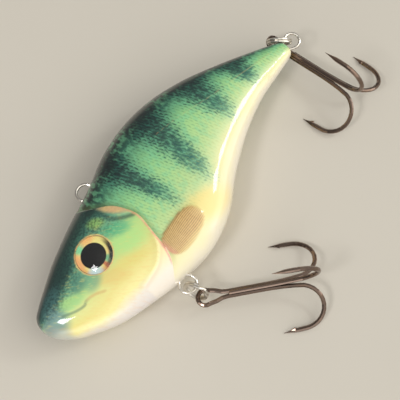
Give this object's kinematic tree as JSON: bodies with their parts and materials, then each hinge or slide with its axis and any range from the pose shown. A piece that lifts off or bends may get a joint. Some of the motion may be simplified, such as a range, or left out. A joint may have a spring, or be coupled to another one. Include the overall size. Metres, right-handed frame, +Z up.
{
  "type": "hard-body swimbait",
  "caption": "Deep-bodied hard fishing lure in two moulded halves with domed eyes, wire eyelets, ballast, split rings and swinging treble hooks.",
  "frame": {"origin": "centre of the bounding box's base, on the surface that the lure lies on", "axes": "+X from the nose to the tail, +Y from the belly to the back, +Z up through the left flank; the lure lies on its right flank"},
  "size_m": [0.1141, 0.0733, 0.0211],
  "materials": {
    "photo_finish": "printed fish finish under a thick clear coat",
    "clear_resin": "clear",
    "gold_foil": "printed foil",
    "stainless_wire": "bright",
    "ballast_steel": "plain",
    "black_nickel": "black nickel plated"
  },
  "bodies": {
    "bait": {"left_body_shell": "photo_finish", "right_body_shell": "photo_finish", "left_eye_dome": "clear_resin", "right_eye_dome": "clear_resin", "left_iris_disc": "gold_foil", "right_iris_disc": "gold_foil", "line_tie": "stainless_wire", "belly_eyelet": "stainless_wire", "tail_eyelet": "stainless_wire", "front_ballast_ball": "ballast_steel", "middle_ballast_ball": "ballast_steel", "rear_ballast_ball": "ballast_steel"},
    "lower_rattle": {"lower_rattle_ball": "ballast_steel"},
    "upper_rattle": {"upper_rattle_ball": "ballast_steel"},
    "belly_ring": {"belly_split_ring": "stainless_wire"},
    "belly_hook": {"belly_double_hook": "black_nickel", "belly_single_hook": "black_nickel"},
    "tail_ring": {"tail_split_ring": "stainless_wire"},
    "tail_hook": {"tail_double_hook": "black_nickel", "tail_single_hook": "black_nickel"}
  },
  "joints": [
    {"name": "lower_rattle_slide", "type": "slide", "parent": "bait", "child": "lower_rattle", "axis": [1, 0, 0], "range_m": [0, 0.008]},
    {"name": "upper_rattle_slide", "type": "slide", "parent": "bait", "child": "upper_rattle", "axis": [1, 0, 0], "range_m": [0, 0.008]},
    {"name": "belly_ring_swing", "type": "hinge", "parent": "bait", "child": "belly_ring", "pos_m": [-0.02279, -0.00747, 0.009], "axis": [0.9659, 0.2588, 0], "range_deg": [-90, 5]},
    {"name": "belly_hook_swing", "type": "hinge", "parent": "belly_ring", "child": "belly_hook", "pos_m": [-0.02276, -0.01056, 0.00646], "axis": [-0.0267, 0.0224, 0.9994], "range_deg": [-60, 20]},
    {"name": "tail_ring_swing", "type": "hinge", "parent": "bait", "child": "tail_ring", "pos_m": [0.04505, 0.01911, 0.009], "axis": [-0.766, -0.6428, 0], "range_deg": [-30, 0]},
    {"name": "tail_hook_swing", "type": "hinge", "parent": "tail_ring", "child": "tail_hook", "pos_m": [0.04421, 0.02191, 0.00512], "axis": [0.8672, -0.0172, -0.4977], "range_deg": [-5, 45]}
  ]
}
